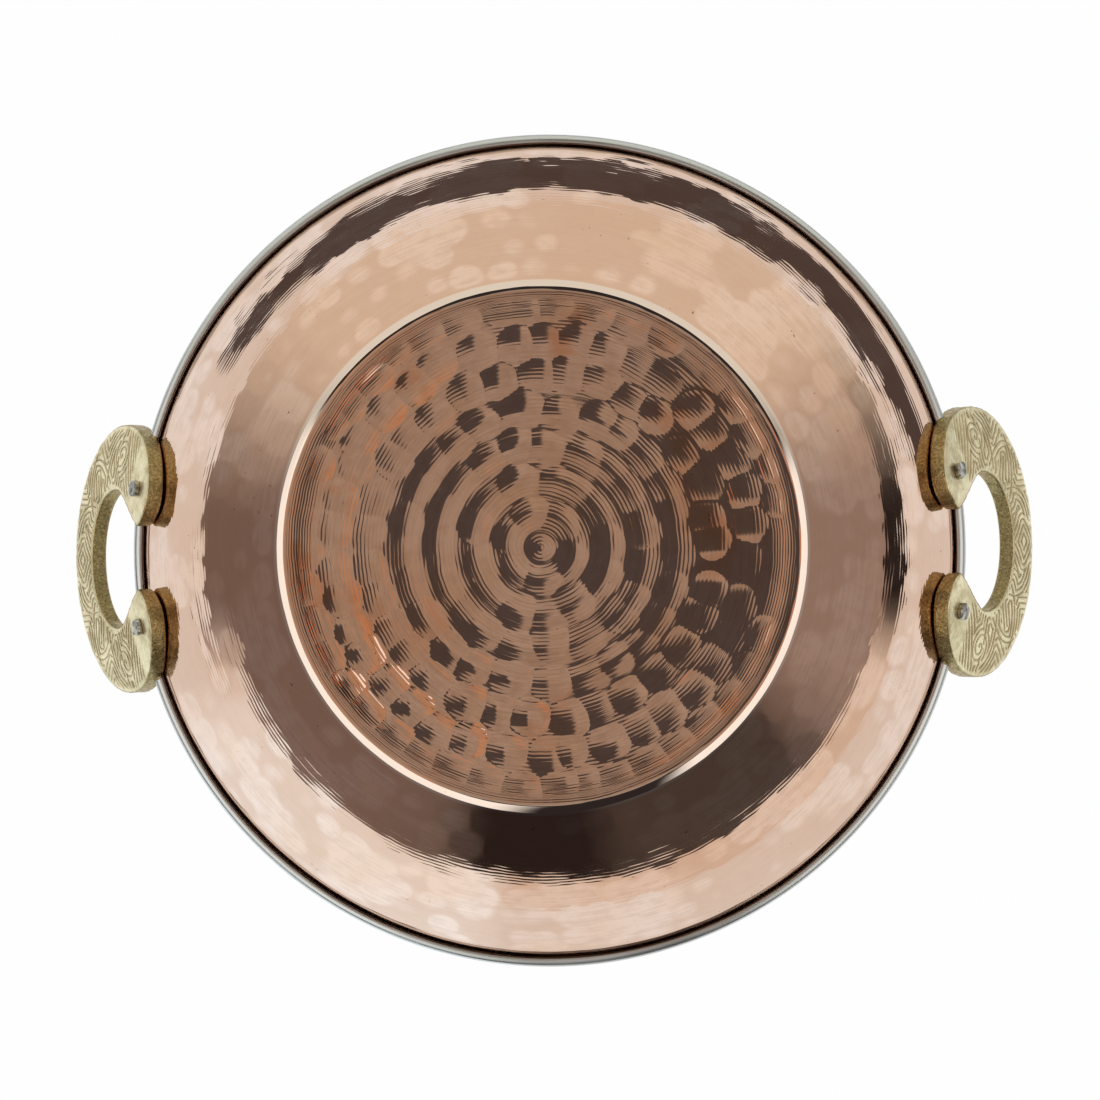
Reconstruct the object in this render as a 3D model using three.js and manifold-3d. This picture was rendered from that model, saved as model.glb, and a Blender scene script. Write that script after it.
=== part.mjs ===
// Hammered copper bowl with two cast brass handles.
//
// Millimetres, +Z up. The origin is the centre of the base's underside. The bowl stands on its
// base with its mouth up, and the handles sit at +X and -X.
//
// Every piece that is a separate piece on the real bowl is its own mesh:
//   outer_shell    the copper skin
//   inner_liner    the steel bowl inside it, with its rim rolled out over the copper's edge
//   handle_*       a cast brass horseshoe, bent to hug the wall, with a pad at each end
//   rivet_*        a steel rivet through liner, shell and pad

import * as THREE from 'three';
import { mergeVertices } from 'three/addons/utils/BufferGeometryUtils.js';
import Module from 'manifold-3d';

const wasm = await Module();
wasm.setup();

// ---------------------------------------------------------------- driving dimensions

const GAP = 0.3; // between pieces that touch
const TURN_SEGMENTS = 64; // round the bowl

// Bowl section. The flat base meets the wall in a corner radius. The wall is one arc that
// steepens from the corner to the rim.
const RIM_R = 125;
const BASE_FLAT_R = 72.3;
const CORNER_R = 5;
const CORNER_SLOPE = 35; // wall's slope where it leaves the corner, degrees
const RIM_SLOPE = 60; // wall's slope at the rim, degrees
const SHELL_T = 0.8;
const LINER_T = 0.8;
const CORNER_STEPS = 3;
const WALL_STEPS = 7;

// Rolled rim: the liner's edge curls outwards and down over the shell's edge.
const BEAD_R = 2.15; // outside radius of the curl
const CURL_CLEARANCE = 0.35; // curl's free edge to the copper
const SHELL_EDGE_SETBACK = 0.4; // shell's edge below the curl's centre
const CURL_STEPS = 10;

// Handle: a plate parallel to the wall near the rim, bent round the bowl.
const HANDLE_DROP = 6.4; // bead's centre down to the handle's reference point
const HANDLE_T = 5;
const HANDLE_STANDOFF = 0.4;
const HANDLE_HALF = 41; // half its length round the bowl
const HANDLE_TOP = 49; // grip's outer edge above the reference point, up the slope
const SHOULDER_V = 22; // height of the widest place
const GRIP_WIDTH = 14.1;
const PAD_U = 19.3; // pad's centre
const PAD_V = 2.9;
const PAD_R = 10.4;
const PAD_OUTER_END = -75; // where the pad's arc leaves the leg, degrees
const PAD_INNER_END = -161; // where it enters the finger gap's throat
const GAP_U = 20.9; // side of the finger gap
const GAP_V = 17.5;

// The points that the outline's free curves are drawn towards.
const GRIP_OUTER_PULL_U = 25.4;
const GRIP_INNER_PULL_U = 15;
const SHOULDER_PULL_UP = 18.6;
const SHOULDER_PULL_DOWN = 15;
const LEG_PULL = [33.6, -4];
const THROAT_PULL = [11.4, 4.6];
const GAP_LOW_PULL = [19.5, 11];
const GAP_HIGH_PULL = [21.9, 27];
const OUTLINE_STEPS = 7; // segments of each curve of the outline
const BEND_STEPS = 14; // facets of its bend
const OUTLINE_DEPTH = 40; // length of the prism that trims the bent sheet, longer than its bend

// The space kept free round the rim: from below the handle up the wall and round the bead.
const CLEAR_BELOW = 8; // start below the handle's reference point, degrees of the wall
const CLEAR_SHORT = 1; // end short of the rim, degrees of the wall
const CLEAR_TURN_FROM = 171; // turn round the bead, degrees back from the rim's slope
const CLEAR_TURN = 261;

// Rivets.
const RIVET_U = 20;
const RIVET_V = 0.8;
const SHANK_R = 2;
const OUTER_HEAD_R = 2.5;
const OUTER_HEAD_H = 1.6;
const INNER_HEAD_R = 4;
const INNER_HEAD_H = 1.4;
const RIVET_SEGMENTS = 16;
const HOLE_LENGTH = 30; // through plate, shell and liner

// Shapes of the rivet's two heads, as shares of the head's radius and height.
const INNER_DOME = [[0, 1], [0.55, 0.9], [0.9, 0.5], [1, 0]];
const PEENED_END = [[1, 0], [0.94, 0.75], [0.7, 1], [0, 1]];

// ---------------------------------------------------------------- sizes worked out from them

const deg = THREE.MathUtils.degToRad;
const slopeLow = deg(CORNER_SLOPE);
const slopeRim = deg(RIM_SLOPE);
const linerDepth = SHELL_T + GAP; // liner's outer face inside the shell's outer face
const stack = linerDepth + LINER_T;

// The wall arc starts where the corner ends, and its far end puts the bead's outside at RIM_R.
const wallStart = new THREE.Vector2(
  BASE_FLAT_R + CORNER_R * Math.sin(slopeLow),
  CORNER_R * (1 - Math.cos(slopeLow)),
);
const curlMidR = BEAD_R - LINER_T / 2;
const beadLift = curlMidR - linerDepth - LINER_T / 2; // bead's centre outside the shell's outer face
const beadCentreR = RIM_R - BEAD_R;
const wallArcR = (beadCentreR - wallStart.x - beadLift * Math.sin(slopeRim))
  / (Math.sin(slopeRim) - Math.sin(slopeLow));
const wallCentre = new THREE.Vector2(
  wallStart.x - wallArcR * Math.sin(slopeLow),
  wallStart.y + wallArcR * Math.cos(slopeLow),
);
const beadCentre = onWall(slopeRim, beadLift);

// Handle's reference point, on the shell's outer face.
const handleZ = beadCentre.y - HANDLE_DROP;
const handleSlope = Math.acos((wallCentre.y - handleZ) / wallArcR);
const handleBase = onWall(handleSlope, 0);
const bendR = handleBase.x / Math.sin(handleSlope);

// ---------------------------------------------------------------- materials

function metal(color, roughness) {
  return new THREE.MeshStandardMaterial({ color, roughness, metalness: 1 });
}

const copper = metal(0xd9997a, 0.18);
const steel = metal(0xc9cbcc, 0.22);
const brass = metal(0xc9b26c, 0.42);
const rivetSteel = metal(0x8f9296, 0.35);

// ---------------------------------------------------------------- bowl section

// The point of the wall arc with this slope, moved outwards from the shell's outer face.
function onWall(slope, outwards) {
  const r = wallArcR + outwards;
  return new THREE.Vector2(
    wallCentre.x + r * Math.sin(slope),
    wallCentre.y - r * Math.cos(slope),
  );
}

// A line parallel to the shell's outer face, depth inside it, from the axis to a slope of the wall.
function skinLine(depth, endSlope) {
  const points = [new THREE.Vector2(0, depth), new THREE.Vector2(BASE_FLAT_R, depth)];
  for (let i = 1; i <= CORNER_STEPS; i += 1) {
    const slope = (slopeLow * i) / CORNER_STEPS;
    const r = CORNER_R - depth;
    points.push(new THREE.Vector2(BASE_FLAT_R + r * Math.sin(slope), CORNER_R - r * Math.cos(slope)));
  }
  for (let i = 1; i <= WALL_STEPS; i += 1) {
    points.push(onWall(slopeLow + ((endSlope - slopeLow) * i) / WALL_STEPS, -depth));
  }
  return points;
}

// The curl at one radius from the bead's centre. Angle pi is on the wall, pi/2 is over the top,
// and the curl ends below the bead, where it meets the copper with its clearance.
function curlLine(radius) {
  const endAngle = -Math.acos((CURL_CLEARANCE + LINER_T / 2 - beadLift) / curlMidR);
  const points = [];
  for (let i = 1; i <= CURL_STEPS; i += 1) {
    const angle = Math.PI + ((endAngle - Math.PI) * i) / CURL_STEPS;
    const out = radius * Math.cos(angle);
    const up = radius * Math.sin(angle);
    points.push(new THREE.Vector2(
      beadCentre.x + out * Math.sin(slopeRim) + up * Math.cos(slopeRim),
      beadCentre.y - out * Math.cos(slopeRim) + up * Math.sin(slopeRim),
    ));
  }
  return points;
}

// Turns a profile of (radius, height) points round the Z axis.
function turned(profile, segments = TURN_SEGMENTS) {
  return new THREE.LatheGeometry(profile, segments).rotateX(Math.PI / 2);
}

function shellSkin() {
  const endSlope = slopeRim - SHELL_EDGE_SETBACK / wallArcR;
  return turned([...skinLine(0, endSlope), ...skinLine(SHELL_T, endSlope).reverse()]);
}

function linerSkin() {
  return turned([
    ...skinLine(linerDepth, slopeRim),
    ...curlLine(BEAD_R - LINER_T),
    ...curlLine(BEAD_R).reverse(),
    ...skinLine(stack, slopeRim).reverse(),
  ]);
}

// ---------------------------------------------------------------- handle

// The horseshoe's outline in its own plane: u runs round the bowl, v up the slope of the wall.
// The second half is the first one mirrored.
function handleOutline() {
  const gripInner = HANDLE_TOP - GRIP_WIDTH;
  const shoulderTop = SHOULDER_V + SHOULDER_PULL_UP;
  const shoulderLow = SHOULDER_V - SHOULDER_PULL_DOWN;
  const padStart = deg(PAD_OUTER_END);
  const padEnd = deg(PAD_INNER_END);
  const legEnd = [PAD_U + PAD_R * Math.cos(padStart), PAD_V + PAD_R * Math.sin(padStart)];
  const half = new THREE.Path();
  half.moveTo(0, HANDLE_TOP);
  half.bezierCurveTo(GRIP_OUTER_PULL_U, HANDLE_TOP, HANDLE_HALF, shoulderTop, HANDLE_HALF, SHOULDER_V);
  half.bezierCurveTo(HANDLE_HALF, shoulderLow, ...LEG_PULL, ...legEnd);
  half.absarc(PAD_U, PAD_V, PAD_R, padStart, padEnd, true);
  half.bezierCurveTo(...THROAT_PULL, ...GAP_LOW_PULL, GAP_U, GAP_V);
  half.bezierCurveTo(...GAP_HIGH_PULL, GRIP_INNER_PULL_U, gripInner, 0, gripInner);
  const right = half.getPoints(OUTLINE_STEPS);
  const left = right.slice(1, -1).reverse().map((p) => new THREE.Vector2(-p.x, p.y));
  return new THREE.Shape([...right, ...left]);
}

// A curved sheet in the handle's own axes (u, v, outwards), as thick as the handle. Its back is
// the standoff away from a bowl of the bend radius whose axis runs along v.
function curvedSheet() {
  const span = Math.asin((HANDLE_HALF + HANDLE_T) / bendR);
  const back = bendR + HANDLE_STANDOFF;
  const section = new THREE.Shape();
  section.absarc(0, bendR, back, -Math.PI / 2 - span, -Math.PI / 2 + span, false);
  section.absarc(0, bendR, back + HANDLE_T, -Math.PI / 2 + span, -Math.PI / 2 - span, true);
  const height = 2 * (HANDLE_TOP + PAD_R);
  const sheet = new THREE.ExtrudeGeometry(section, {
    depth: height, steps: 1, bevelEnabled: false, curveSegments: BEND_STEPS,
  });
  return sheet.translate(0, 0, -height / 2).rotateX(-Math.PI / 2);
}

// Takes the handle's own axes to the bowl's frame, for the handle at +X.
function handleFrame() {
  const u = new THREE.Vector3(0, 1, 0);
  const v = new THREE.Vector3(Math.cos(handleSlope), 0, Math.sin(handleSlope));
  const n = new THREE.Vector3().crossVectors(u, v);
  return new THREE.Matrix4().makeBasis(u, v, n).setPosition(handleBase.x, 0, handleBase.y);
}

// The curved sheet, cut to the horseshoe's outline.
function handlePlate() {
  const prism = new THREE.ExtrudeGeometry(handleOutline(), {
    depth: OUTLINE_DEPTH, steps: 1, bevelEnabled: false,
  });
  prism.translate(0, 0, -OUTLINE_DEPTH / 2);
  const plate = solidOf(curvedSheet()).intersect(solidOf(prism));
  return geometryOf(plate).applyMatrix4(handleFrame());
}

// Everything of the bowl that the handle has to stay clear of: the wall and the bead.
function rimEnvelope() {
  const lowSlope = handleSlope - deg(CLEAR_BELOW);
  const profile = [
    onWall(lowSlope, -stack),
    onWall(lowSlope, HANDLE_STANDOFF),
    onWall(slopeRim - deg(CLEAR_SHORT), HANDLE_STANDOFF),
  ];
  for (let i = 0; i <= CURL_STEPS; i += 1) {
    const angle = slopeRim - deg(CLEAR_TURN_FROM - (CLEAR_TURN * i) / CURL_STEPS);
    const r = BEAD_R + GAP;
    profile.push(new THREE.Vector2(
      beadCentre.x + r * Math.cos(angle),
      beadCentre.y + r * Math.sin(angle),
    ));
  }
  profile.push(profile[0].clone());
  return turned(profile);
}

// ---------------------------------------------------------------- rivets

// Its axis is Z, pointing out of the bowl, and z = 0 is the shell's outer face.
function rivetBody() {
  const innerFace = -stack - GAP;
  const outerFace = HANDLE_STANDOFF + HANDLE_T + GAP;
  const profile = [
    ...INNER_DOME.map(([r, h]) => [INNER_HEAD_R * r, innerFace - INNER_HEAD_H * h]),
    [SHANK_R, innerFace],
    [SHANK_R, outerFace],
    ...PEENED_END.map(([r, h]) => [OUTER_HEAD_R * r, outerFace + OUTER_HEAD_H * h]),
  ];
  return turned(profile.map(([r, z]) => new THREE.Vector2(r, z)), RIVET_SEGMENTS);
}

// Places a rivet or its hole, square to the bend. side is +1 or -1, for the pad at +u or -u.
function rivetPlace(side) {
  const turn = side * Math.asin(RIVET_U / bendR);
  const place = new THREE.Matrix4().makeRotationY(turn);
  place.setPosition(side * RIVET_U, RIVET_V, bendR * (Math.cos(turn) - 1));
  return new THREE.Matrix4().multiplyMatrices(handleFrame(), place);
}

function rivetHole(side) {
  const radius = SHANK_R + GAP;
  const hole = new THREE.CylinderGeometry(radius, radius, HOLE_LENGTH, RIVET_SEGMENTS);
  return hole.rotateX(Math.PI / 2).applyMatrix4(rivetPlace(side));
}

// ---------------------------------------------------------------- cutting

// A closed geometry as a solid that can be cut: shared corners merged, empty triangles dropped.
function solidOf(geometry) {
  const plain = new THREE.BufferGeometry();
  plain.setAttribute('position', geometry.attributes.position);
  plain.setIndex(geometry.index);
  const merged = mergeVertices(plain);
  const index = merged.index.array;
  const triangles = [];
  for (let i = 0; i < index.length; i += 3) {
    const [a, b, c] = [index[i], index[i + 1], index[i + 2]];
    if (a !== b && b !== c && c !== a) {
      triangles.push(a, b, c);
    }
  }
  return new wasm.Manifold(new wasm.Mesh({
    numProp: 3,
    vertProperties: new Float32Array(merged.attributes.position.array),
    triVerts: new Uint32Array(triangles),
  }));
}

function geometryOf(solid) {
  const mesh = solid.getMesh();
  const geometry = new THREE.BufferGeometry();
  geometry.setAttribute('position', new THREE.BufferAttribute(mesh.vertProperties, 3));
  geometry.setIndex(new THREE.BufferAttribute(mesh.triVerts, 1));
  geometry.computeVertexNormals();
  return geometry;
}

function cut(geometry, tools) {
  return geometryOf(tools.reduce((solid, tool) => solid.subtract(solidOf(tool)), solidOf(geometry)));
}

// ---------------------------------------------------------------- assembly

const halfTurn = new THREE.Matrix4().makeRotationZ(Math.PI);
const holesRight = [rivetHole(1), rivetHole(-1)];
const holesLeft = holesRight.map((hole) => hole.clone().applyMatrix4(halfTurn));
const allHoles = [...holesRight, ...holesLeft];
const handleGeometry = cut(handlePlate(), [rimEnvelope(), ...holesRight]);

function piece(name, geometry, material) {
  const mesh = new THREE.Mesh(geometry, material);
  mesh.name = name;
  return mesh;
}

// A handle with its two rivets. turn puts it at +X (0) or at -X (pi).
function handleSet(sideName, turn) {
  const set = new THREE.Group();
  set.add(piece(`handle_${sideName}`, handleGeometry, brass.clone()));
  for (const side of [1, -1]) {
    const where = side * Math.cos(turn) > 0 ? 'back' : 'front';
    const rivet = piece(`rivet_${sideName}_${where}`, rivetBody(), rivetSteel.clone());
    rivet.applyMatrix4(rivetPlace(side));
    set.add(rivet);
  }
  set.rotation.z = turn;
  return set;
}

const bowl = new THREE.Group();
bowl.add(piece('outer_shell', cut(shellSkin(), allHoles), copper));
bowl.add(piece('inner_liner', cut(linerSkin(), allHoles), steel));
bowl.add(handleSet('right', 0));
bowl.add(handleSet('left', Math.PI));

export default bowl;
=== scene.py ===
"""Looks of the hammered copper bowl: hammered skin, steel lining, engraved brass handles, rivets.

Everything is in metres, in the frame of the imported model: +Z up, the origin in the middle of the
base's underside, the handles at +X and -X. The camera is below the bowl and looks up at it.
"""

import math

import bpy
import numpy as np
from mathutils import Matrix, Vector
from mathutils.kdtree import KDTree


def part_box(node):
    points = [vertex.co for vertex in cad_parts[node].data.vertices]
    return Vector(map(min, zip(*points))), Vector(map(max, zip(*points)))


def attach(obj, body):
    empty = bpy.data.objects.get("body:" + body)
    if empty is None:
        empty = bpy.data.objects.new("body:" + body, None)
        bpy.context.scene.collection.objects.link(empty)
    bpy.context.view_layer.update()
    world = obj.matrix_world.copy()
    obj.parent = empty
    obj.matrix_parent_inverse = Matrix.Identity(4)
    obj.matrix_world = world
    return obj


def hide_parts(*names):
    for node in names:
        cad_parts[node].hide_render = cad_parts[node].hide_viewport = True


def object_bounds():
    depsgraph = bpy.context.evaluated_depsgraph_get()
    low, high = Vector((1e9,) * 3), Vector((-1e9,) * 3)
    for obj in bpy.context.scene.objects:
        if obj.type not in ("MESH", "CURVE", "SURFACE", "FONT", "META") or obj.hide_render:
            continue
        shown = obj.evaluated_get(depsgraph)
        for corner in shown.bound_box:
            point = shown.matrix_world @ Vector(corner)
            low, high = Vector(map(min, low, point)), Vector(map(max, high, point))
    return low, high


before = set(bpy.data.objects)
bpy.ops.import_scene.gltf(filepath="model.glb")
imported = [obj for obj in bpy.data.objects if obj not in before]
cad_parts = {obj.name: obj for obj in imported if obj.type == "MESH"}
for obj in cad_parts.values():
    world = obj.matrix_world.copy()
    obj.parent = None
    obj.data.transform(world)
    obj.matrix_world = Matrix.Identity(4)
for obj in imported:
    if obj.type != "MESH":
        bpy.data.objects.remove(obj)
cad_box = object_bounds()

MM = 0.001
TURN = 2 * math.pi
SEED = 20

# ---------------------------------------------------------------- the bowl's section

GAP = 0.3 * MM
SHELL_T = 0.8 * MM
LINER_T = 0.8 * MM
BASE_FLAT_R = 72.3 * MM
CORNER_R = 5 * MM
CORNER_SLOPE = math.radians(35)
RIM_SLOPE = math.radians(60)
BEAD_R = 2.15 * MM
CURL_CLEARANCE = 0.35 * MM
SHELL_EDGE_SETBACK = 0.4 * MM

liner_low, liner_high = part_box("inner_liner")
rim_r = (liner_high.x - liner_low.x) / 2
liner_depth = SHELL_T + GAP
stack = liner_depth + LINER_T
curl_mid_r = BEAD_R - LINER_T / 2
bead_lift = curl_mid_r - liner_depth - LINER_T / 2
bead_centre_r = rim_r - BEAD_R
bead_centre_z = liner_high.z - BEAD_R

# The wall is one arc. It starts at the corner's end and passes the bead's centre at bead_lift.
wall_start_r = BASE_FLAT_R + CORNER_R * math.sin(CORNER_SLOPE)
wall_start_z = CORNER_R * (1 - math.cos(CORNER_SLOPE))
wall_arc_r = (bead_centre_r - wall_start_r - bead_lift * math.sin(RIM_SLOPE)) / (
    math.sin(RIM_SLOPE) - math.sin(CORNER_SLOPE)
)
wall_centre_r = wall_start_r - wall_arc_r * math.sin(CORNER_SLOPE)
wall_centre_z = wall_start_z + wall_arc_r * math.cos(CORNER_SLOPE)

# Distance along the section from the axis, on the shell's outer face.
corner_end = BASE_FLAT_R + CORNER_R * CORNER_SLOPE
wall_end = corner_end + wall_arc_r * (RIM_SLOPE - CORNER_SLOPE)


def section(distance):
    """Radius, height and slope of the shell's outer face at distances along the section."""
    corner_slope = np.clip((distance - BASE_FLAT_R) / CORNER_R, 0, CORNER_SLOPE)
    wall_slope = CORNER_SLOPE + (distance - corner_end) / wall_arc_r
    on_wall = distance > corner_end
    slope = np.where(on_wall, wall_slope, corner_slope)
    radius = np.where(
        on_wall,
        wall_centre_r + wall_arc_r * np.sin(slope),
        np.minimum(distance, BASE_FLAT_R) + CORNER_R * np.sin(slope),
    )
    height = np.where(
        on_wall, wall_centre_z - wall_arc_r * np.cos(slope), CORNER_R * (1 - np.cos(slope))
    )
    return radius, height, slope


# ---------------------------------------------------------------- hammer marks

BASE_PITCH = 9.7 * MM
BASE_RINGS = 7
BASE_MARK_DEPTH = 0.17 * MM
BASE_MARK_ALONG = 5.5 * MM
BASE_MARK_ROUND = 6.2 * MM
BASE_SWELL = 0.115 * MM  # the rings of marks also form rounded troughs near the middle
SWELL_FADE = (36 * MM, 50 * MM)
SEAT_DEPTH = 0.15 * MM  # the base rises a little towards a shallow groove inside its edge
SEAT_FROM = 44 * MM
SEAT_AT = 63.5 * MM
SEAT_TO = 71.5 * MM
HARD_SECTOR = math.radians(125)  # the base is beaten harder round this angle, near its edge
HARD_HALF = math.radians(50)
HARD_GAIN = 1.0
INNER_SHARE = 0.62  # marks near the middle are this much as deep as the outer ones
WALL_PITCH = 10.2 * MM
WALL_MARK_DEPTH = 0.062 * MM
WALL_MARK_R = 5.8 * MM
BASE_RIDGE = 0.010 * MM  # how worn the ridges between the marks are
WALL_RIDGE = 0.006 * MM
BASE_FADE = (66.5 * MM, 71.0 * MM)
RIM_FADE = (5.0 * MM, 9.0 * MM)
CORNER_FADE = 4 * MM
BASE_JITTER = 0.14  # share of the pitch by which the marks stray
WALL_JITTER = 0.12
MARK_REACH = 1.6  # a mark counts this many times its own radius away
BASE_SWAY = (0.06 * MM, 40 * MM)  # height and length of the slow unevenness
BASE_SWAY_LIFT = 2.4
WALL_SWAY = (0.045 * MM, 32 * MM)


def smooth(low, high, x):
    t = np.clip((x - low) / (high - low), 0, 1)
    return t * t * (3 - 2 * t)


def ring_of_marks(rng, distance, pitch, jitter):
    """Centres of one ring of marks, as (distance along the section, angle) pairs."""
    radius = float(section(np.array(distance))[0])
    count = max(1, round(TURN * radius / pitch))
    angle = (np.arange(count) + rng.uniform()) * TURN / count
    angle = angle + rng.normal(0, jitter, count) * pitch / max(radius, pitch)
    return np.stack([distance + rng.normal(0, jitter * 0.6, count) * pitch, angle], 1)


def mark_field(points, ridge, marks, depth, along, around):
    """Depth of overlapping round marks at (distance, angle) points, their ridges slightly worn."""
    radius = section(points[:, 0])[0]
    total = np.ones(len(points))
    for (distance, angle), d, a, t in zip(marks, depth, along, around):
        near = np.abs(points[:, 0] - distance) < MARK_REACH * a
        s = (points[near, 0] - distance) / a
        turn = np.angle(np.exp(1j * (points[near, 1] - angle)))
        c = turn * np.maximum(radius[near], 0.2 * MM) / t
        if distance < BASE_PITCH / 2:
            s, c = points[near, 0] / a, 0
        total[near] += np.exp(d * (1 - s * s - c * c) / ridge)
    return ridge * np.log(total)


def waves(points, wavelength, count, seed):
    """Smooth noise of about unit size: plane waves of random direction and phase."""
    rng = np.random.default_rng(seed)
    direction = rng.normal(size=(count, points.shape[1]))
    direction /= np.linalg.norm(direction, axis=1)[:, None]
    length = wavelength * rng.uniform(0.7, 1.5, count)
    phase = rng.uniform(0, TURN, count)
    each = np.sin(points @ (TURN * direction / length[:, None]).T + phase)
    return each.sum(1) * math.sqrt(2 / count)


def base_marks():
    rng = np.random.default_rng(SEED)
    rings = [np.array([[0.0, 0.0]])]
    for k in range(1, BASE_RINGS + 1):
        rings.append(ring_of_marks(rng, k * BASE_PITCH, BASE_PITCH, BASE_JITTER))
    marks = np.concatenate(rings)
    count = len(marks)
    depth = BASE_MARK_DEPTH * rng.uniform(0.55, 1.35, count)
    depth *= INNER_SHARE + (1 - INNER_SHARE) * smooth(*SWELL_FADE, marks[:, 0])
    off = np.abs(np.angle(np.exp(1j * (marks[:, 1] - HARD_SECTOR))))
    hard = 1 - smooth(0.5 * HARD_HALF, HARD_HALF, off)
    depth *= 1 + HARD_GAIN * hard * smooth(3 * BASE_PITCH, 4.5 * BASE_PITCH, marks[:, 0])
    along = BASE_MARK_ALONG * rng.uniform(0.95, 1.08, count)
    around = BASE_MARK_ROUND * rng.uniform(0.93, 1.08, count)
    return marks, depth, along, around


def wall_marks():
    rng = np.random.default_rng(SEED + 1)
    rows = round((wall_end - corner_end) / WALL_PITCH)
    rings = []
    for k in range(rows):
        distance = corner_end + (k + 0.5) * (wall_end - corner_end) / rows
        rings.append(ring_of_marks(rng, distance, WALL_PITCH, WALL_JITTER))
    marks = np.concatenate(rings)
    count = len(marks)
    depth = WALL_MARK_DEPTH * rng.uniform(0.4, 1.5, count)
    size = WALL_MARK_R * rng.uniform(0.9, 1.1, count)
    return marks, depth, size, size


def hammered(points):
    """Depth of the beaten surface below the plain section at (distance, angle) points."""
    distance, angle = points.T
    radius, height, slope = section(distance)
    place = np.stack([radius * np.cos(angle), radius * np.sin(angle), height], 1)
    base = mark_field(points, BASE_RIDGE, *base_marks())
    trough = 0.5 + 0.5 * np.cos(TURN * distance / BASE_PITCH)
    base += BASE_SWELL * trough * (1 - smooth(*SWELL_FADE, distance))
    base += BASE_SWAY[0] * (BASE_SWAY_LIFT + waves(place, BASE_SWAY[1], 16, SEED + 2))
    base *= 1 - smooth(*BASE_FADE, distance)
    seat = smooth(SEAT_FROM, SEAT_AT, distance) * (1 - smooth(SEAT_AT, SEAT_TO, distance))
    base += SEAT_DEPTH * seat
    inside_wall = smooth(corner_end, corner_end + CORNER_FADE, distance)
    inside_wall *= 1 - smooth(wall_end - RIM_FADE[1], wall_end - RIM_FADE[0], distance)
    wall = mark_field(points, WALL_RIDGE, *wall_marks())
    wall += WALL_SWAY[0] * waves(place, WALL_SWAY[1], 24, SEED + 3)
    return base + inside_wall * wall


# ---------------------------------------------------------------- meshes

STEP = 0.02 * MM


def skin_points(points, depth=0.0, marks=1.0):
    """Places and outward normals of a skin below the shell's outer face at (distance, angle)."""
    distance, angle = points.T
    radius, height, slope = section(distance)
    field = hammered(points)
    along = hammered(points + [STEP, 0]) - hammered(points - [STEP, 0])
    along = marks * along / (2 * STEP)
    turn = STEP / np.maximum(radius, 0.3 * MM)
    side = np.stack([np.zeros_like(turn), turn], 1)
    around = marks * (hammered(points + side) - hammered(points - side)) / (2 * STEP)
    sink = depth + marks * field
    r = radius - np.sin(slope) * sink
    z = height + np.cos(slope) * sink
    out = np.sin(slope) + along * np.cos(slope)
    up = -np.cos(slope) + along * np.sin(slope)
    cos, sin = np.cos(angle), np.sin(angle)
    place = np.stack([r * cos, r * sin, z], 1)
    normal = np.stack([out * cos - around * sin, out * sin + around * cos, up], 1)
    return place, normal / np.linalg.norm(normal, axis=1)[:, None], field


def ring_angles(count):
    return np.arange(count) * TURN / count


def stitch(first, count_a, second, count_b):
    """Triangles between two rings of points, which may have different counts."""
    faces = []
    a = b = 0
    while a < count_a or b < count_b:
        if b >= count_b or (a < count_a and (a + 1) * count_b <= (b + 1) * count_a):
            faces.append((first + a % count_a, second + b % count_b, first + (a + 1) % count_a))
            a += 1
        else:
            faces.append((first + a % count_a, second + b % count_b, second + (b + 1) % count_b))
            b += 1
    return faces


class Skin:
    """A closed skin made of rings of points round the axis, each stitched to the next.

    The rings start next to the axis. faces_down says which way the first of them face."""

    def __init__(self, faces_down):
        self.faces_down = faces_down
        self.places, self.normals, self.distances, self.hollows = [], [], [], []
        self.rows, self.faces = [], []
        self.size = 0

    def ring(self, places, normals, distance, hollow=0.0):
        start, count = self.size, len(places)
        if self.rows:
            self.faces += stitch(*self.rows[-1], start, count)
        self.rows.append((start, count))
        self.places.append(places)
        self.normals.append(normals)
        self.distances.append(np.full(count, distance))
        self.hollows.append(np.full(count, hollow))
        self.size += count

    def mesh(self, name):
        ends = (self.rows[0], self.rows[-1])
        first, last = [list(range(start, start + count)) for start, count in ends]
        faces = self.faces + [first[::-1], last]
        if self.faces_down:
            faces = [face[::-1] for face in faces]
        data = mesh_of(name, np.concatenate(self.places), faces)
        for attribute, values in (("section", self.distances), ("hollow", self.hollows)):
            layer = data.attributes.new(attribute, "FLOAT", "POINT")
            layer.data.foreach_set("value", np.concatenate(values).astype(np.float32))
        data.normals_split_custom_set_from_vertices(np.concatenate(self.normals).tolist())
        return data


def mesh_of(name, places, faces):
    data = bpy.data.meshes.new(name)
    data.from_pydata(places.tolist(), [], faces)
    data.update()
    data.shade_smooth()
    return data


def shown(name, data, material):
    piece = bpy.data.objects.new(name, data)
    bpy.context.scene.collection.objects.link(piece)
    data.materials.append(material)
    return piece


# ---------------------------------------------------------------- copper shell

BASE_CELL = 0.66 * MM
WALL_SEGMENTS = 640
WALL_CELL = 1.25 * MM
CORNER_ROWS = 9
BACK_SEGMENTS = 160
BACK_ROWS = 20
NEAR_AXIS = 0.05 * MM


def skin_rows():
    """Distances of the rings of the outer face and how many points each has."""
    base = np.linspace(NEAR_AXIS, BASE_FLAT_R, round(BASE_FLAT_R / BASE_CELL))
    counts = [max(6, round(TURN * d / BASE_CELL)) for d in base]
    counts = [min(c, WALL_SEGMENTS) for c in counts]
    corner = np.linspace(BASE_FLAT_R, corner_end, CORNER_ROWS + 1)[1:]
    edge = wall_end - SHELL_EDGE_SETBACK
    wall = np.linspace(corner_end, edge, round((edge - corner_end) / WALL_CELL))[1:]
    rest = np.concatenate([corner, wall])
    return np.concatenate([base, rest]), counts + [WALL_SEGMENTS] * len(rest)


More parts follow.
